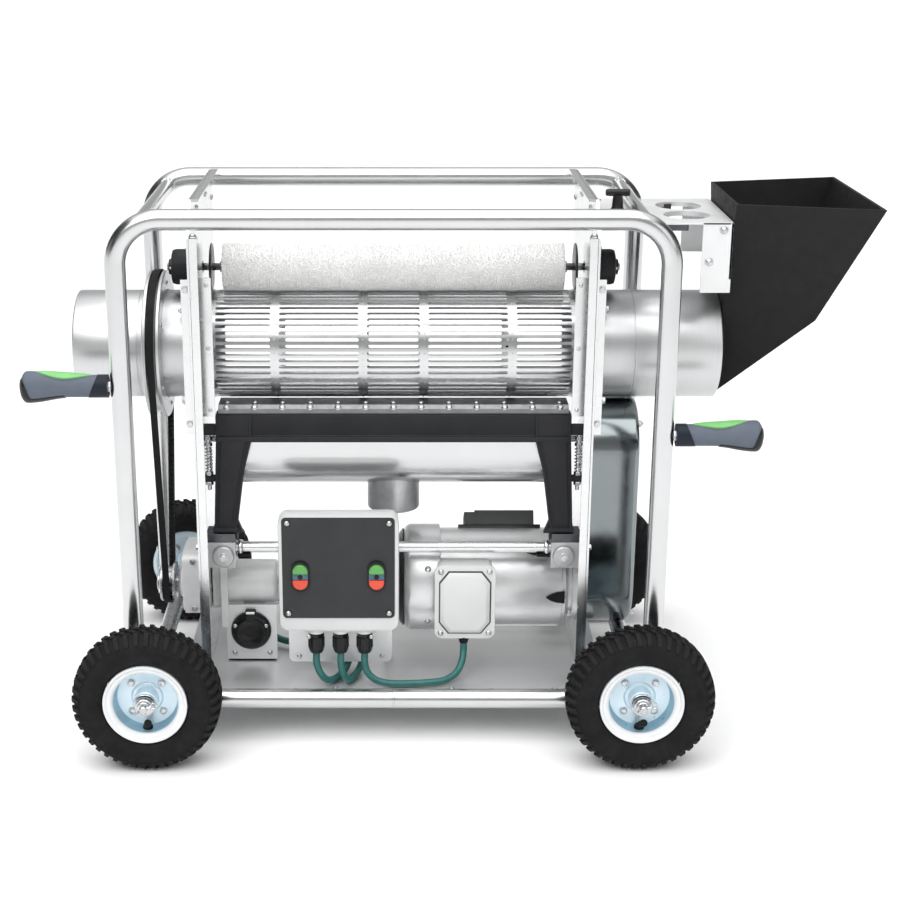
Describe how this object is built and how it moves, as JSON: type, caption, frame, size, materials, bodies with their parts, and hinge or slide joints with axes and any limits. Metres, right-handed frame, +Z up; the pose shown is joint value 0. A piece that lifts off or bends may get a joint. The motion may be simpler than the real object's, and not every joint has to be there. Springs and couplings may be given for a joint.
{
  "type": "drum plant trimmer",
  "caption": "Wheeled tube-frame machine with a slotted tumbler, cleaning brush, reel cutter, belt drives, control box and infeed hopper",
  "frame": {"origin": "on the floor, under the middle of the machine's overall length and depth", "axes": "+X along the tumbler towards the hopper, +Y towards the back, +Z up"},
  "size_m": [1.235, 0.634, 0.822],
  "materials": {
    "polished_stainless": "mirror-polished stainless steel",
    "brushed_stainless": "circumferentially brushed stainless steel",
    "zinc_plate": "pale blue zinc-coated pressed steel",
    "machine_steel": "ground bright steel",
    "black_casting": "black powder coat, fine texture",
    "black_plastic": "matte black, fine texture",
    "black_rubber": "matte black rubber",
    "tyre_rubber": "matte knobby tread",
    "bristle": "dense white nylon bristle",
    "grey_enamel": "light grey enamel, satin",
    "charcoal_panel": "charcoal, fine texture",
    "teal_sheath": "teal PVC sheath, satin",
    "green_cap": "glossy green",
    "red_cap": "glossy red",
    "grip_rubber": "slate grey soft-touch rubber with green and navy inlays"
  },
  "bodies": {
    "machine_frame": {"front_frame_loop": "polished_stainless", "rear_frame_loop": "polished_stainless", "base_tray": "polished_stainless", "left_side_plate": "polished_stainless", "right_side_plate": "polished_stainless", "cutter_support_rod": "polished_stainless", "belt_guard": "polished_stainless", "discharge_chute": "polished_stainless", "control_stand": "polished_stainless", "hopper_bracket": "polished_stainless", "drive_motor": "polished_stainless", "left_axle": "machine_steel", "right_axle": "machine_steel", "bedknife": "machine_steel", "cutter_frame": "black_casting", "left_brush_bearing": "black_casting", "right_brush_bearing": "black_casting", "tumbler_belt": "black_rubber", "reel_belt": "teal_sheath", "tumbler_cable": "teal_sheath", "supply_cable": "teal_sheath", "cutter_cable": "teal_sheath", "gear_motor": "grey_enamel", "motor_terminal_box": "grey_enamel", "control_box": "grey_enamel", "control_panel": "charcoal_panel", "gland_plate": "black_plastic", "inlet_socket": "black_plastic", "left_handle": "grip_rubber", "right_handle": "grip_rubber"},
    "tumbler": {"tumbler_drum": "polished_stainless", "infeed_tube": "brushed_stainless", "outfeed_tube": "brushed_stainless", "tumbler_pulley": "brushed_stainless"},
    "gear_pulley": {"gear_motor_pulley": "machine_steel"},
    "brush": {"brush_roller": "bristle"},
    "reel": {"cutting_reel": "machine_steel", "reel_pulley": "machine_steel"},
    "motor_rotor": {"motor_pulley": "machine_steel"},
    "tumbler_start": {"tumbler_start_button": "green_cap"},
    "tumbler_stop": {"tumbler_stop_button": "red_cap"},
    "cutter_start": {"cutter_start_button": "green_cap"},
    "cutter_stop": {"cutter_stop_button": "red_cap"},
    "inlet_lid": {"inlet_cap": "black_plastic"},
    "knob": {"clamp_knob": "black_plastic"},
    "infeed_hopper": {"hopper": "black_plastic"},
    "left_upper_front_support": {"left_upper_front_roller": "black_rubber"},
    "left_lower_front_support": {"left_lower_front_roller": "black_rubber"},
    "left_lower_rear_support": {"left_lower_rear_roller": "black_rubber"},
    "right_upper_front_support": {"right_upper_front_roller": "black_rubber"},
    "right_lower_front_support": {"right_lower_front_roller": "black_rubber"},
    "right_lower_rear_support": {"right_lower_rear_roller": "black_rubber"},
    "front_left_wheel": {"front_left_tyre": "tyre_rubber", "front_left_rim": "zinc_plate"},
    "front_right_wheel": {"front_right_tyre": "tyre_rubber", "front_right_rim": "zinc_plate"},
    "rear_left_wheel": {"rear_left_tyre": "tyre_rubber", "rear_left_rim": "zinc_plate"},
    "rear_right_wheel": {"rear_right_tyre": "tyre_rubber", "rear_right_rim": "zinc_plate"}
  },
  "joints": [
    {"name": "tumbler_spin", "type": "hinge", "parent": "machine_frame", "child": "tumbler", "pos_m": [-0.0815, 0, 0.579], "axis": [1, 0, 0], "continuous": true},
    {"name": "gear_pulley_spin", "type": "hinge", "parent": "machine_frame", "child": "gear_pulley", "pos_m": [-0.4415, -0.018, 0.19], "axis": [1, 0, 0], "continuous": true},
    {"name": "brush_spin", "type": "hinge", "parent": "machine_frame", "child": "brush", "pos_m": [-0.0815, 0, 0.699], "axis": [1, 0, 0], "continuous": true},
    {"name": "reel_spin", "type": "hinge", "parent": "machine_frame", "child": "reel", "pos_m": [-0.0815, -0.012, 0.431], "axis": [1, 0, 0], "continuous": true},
    {"name": "motor_pulley_spin", "type": "hinge", "parent": "machine_frame", "child": "motor_rotor", "pos_m": [0.2655, -0.012, 0.195], "axis": [1, 0, 0], "continuous": true},
    {"name": "left_upper_front_roller_spin", "type": "hinge", "parent": "machine_frame", "child": "left_upper_front_support", "pos_m": [-0.3875, -0.07078, 0.64978], "axis": [1, 0, 0], "continuous": true},
    {"name": "left_lower_front_roller_spin", "type": "hinge", "parent": "machine_frame", "child": "left_lower_front_support", "pos_m": [-0.3875, -0.07078, 0.50822], "axis": [1, 0, 0], "continuous": true},
    {"name": "left_lower_rear_roller_spin", "type": "hinge", "parent": "machine_frame", "child": "left_lower_rear_support", "pos_m": [-0.3875, 0.07078, 0.50822], "axis": [1, 0, 0], "continuous": true},
    {"name": "right_upper_front_roller_spin", "type": "hinge", "parent": "machine_frame", "child": "right_upper_front_support", "pos_m": [0.2245, -0.07078, 0.64978], "axis": [1, 0, 0], "continuous": true},
    {"name": "right_lower_front_roller_spin", "type": "hinge", "parent": "machine_frame", "child": "right_lower_front_support", "pos_m": [0.2245, -0.07078, 0.50822], "axis": [1, 0, 0], "continuous": true},
    {"name": "right_lower_rear_roller_spin", "type": "hinge", "parent": "machine_frame", "child": "right_lower_rear_support", "pos_m": [0.2245, 0.07078, 0.50822], "axis": [1, 0, 0], "continuous": true},
    {"name": "front_left_wheel_spin", "type": "hinge", "parent": "machine_frame", "child": "front_left_wheel", "pos_m": [-0.4455, -0.27, 0.11], "axis": [0, 1, 0], "continuous": true},
    {"name": "front_right_wheel_spin", "type": "hinge", "parent": "machine_frame", "child": "front_right_wheel", "pos_m": [0.2825, -0.27, 0.11], "axis": [0, 1, 0], "continuous": true},
    {"name": "rear_left_wheel_spin", "type": "hinge", "parent": "machine_frame", "child": "rear_left_wheel", "pos_m": [-0.4455, 0.27, 0.11], "axis": [0, 1, 0], "continuous": true},
    {"name": "rear_right_wheel_spin", "type": "hinge", "parent": "machine_frame", "child": "rear_right_wheel", "pos_m": [0.2825, 0.27, 0.11], "axis": [0, 1, 0], "continuous": true},
    {"name": "tumbler_start_press", "type": "slide", "parent": "machine_frame", "child": "tumbler_start", "axis": [0, 1, 0], "range_m": [0, 0.003], "stiffness_N_per_m": 600},
    {"name": "tumbler_stop_press", "type": "slide", "parent": "machine_frame", "child": "tumbler_stop", "axis": [0, 1, 0], "range_m": [0, 0.003], "stiffness_N_per_m": 600},
    {"name": "cutter_start_press", "type": "slide", "parent": "machine_frame", "child": "cutter_start", "axis": [0, 1, 0], "range_m": [0, 0.003], "stiffness_N_per_m": 600},
    {"name": "cutter_stop_press", "type": "slide", "parent": "machine_frame", "child": "cutter_stop", "axis": [0, 1, 0], "range_m": [0, 0.003], "stiffness_N_per_m": 600},
    {"name": "inlet_lid_hinge", "type": "hinge", "parent": "machine_frame", "child": "inlet_lid", "pos_m": [-0.3085, -0.0687, 0.1564], "axis": [-1, 0, 0], "range_deg": [0, 110], "stiffness_Nm_per_rad": 0.02, "springref_deg": -20.05},
    {"name": "clamp_knob_turn", "type": "hinge", "parent": "machine_frame", "child": "knob", "pos_m": [0.2555, 0, 0.8], "axis": [0, 0, 1], "continuous": true},
    {"name": "hopper_lift", "type": "slide", "parent": "machine_frame", "child": "infeed_hopper", "axis": [0, 0, 1], "range_m": [0, 0.15]}
  ],
  "couplings": [
    {"joint": "gear_pulley_spin", "follows": "tumbler_spin", "ratio": 3.5484},
    {"joint": "brush_spin", "follows": "tumbler_spin", "ratio": -2.2},
    {"joint": "motor_pulley_spin", "follows": "reel_spin", "ratio": 0.6279},
    {"joint": "left_upper_front_roller_spin", "follows": "tumbler_spin", "ratio": -4.8529},
    {"joint": "left_lower_front_roller_spin", "follows": "tumbler_spin", "ratio": -4.8529},
    {"joint": "left_lower_rear_roller_spin", "follows": "tumbler_spin", "ratio": -4.8529},
    {"joint": "right_upper_front_roller_spin", "follows": "tumbler_spin", "ratio": -4.8529},
    {"joint": "right_lower_front_roller_spin", "follows": "tumbler_spin", "ratio": -4.8529},
    {"joint": "right_lower_rear_roller_spin", "follows": "tumbler_spin", "ratio": -4.8529}
  ]
}
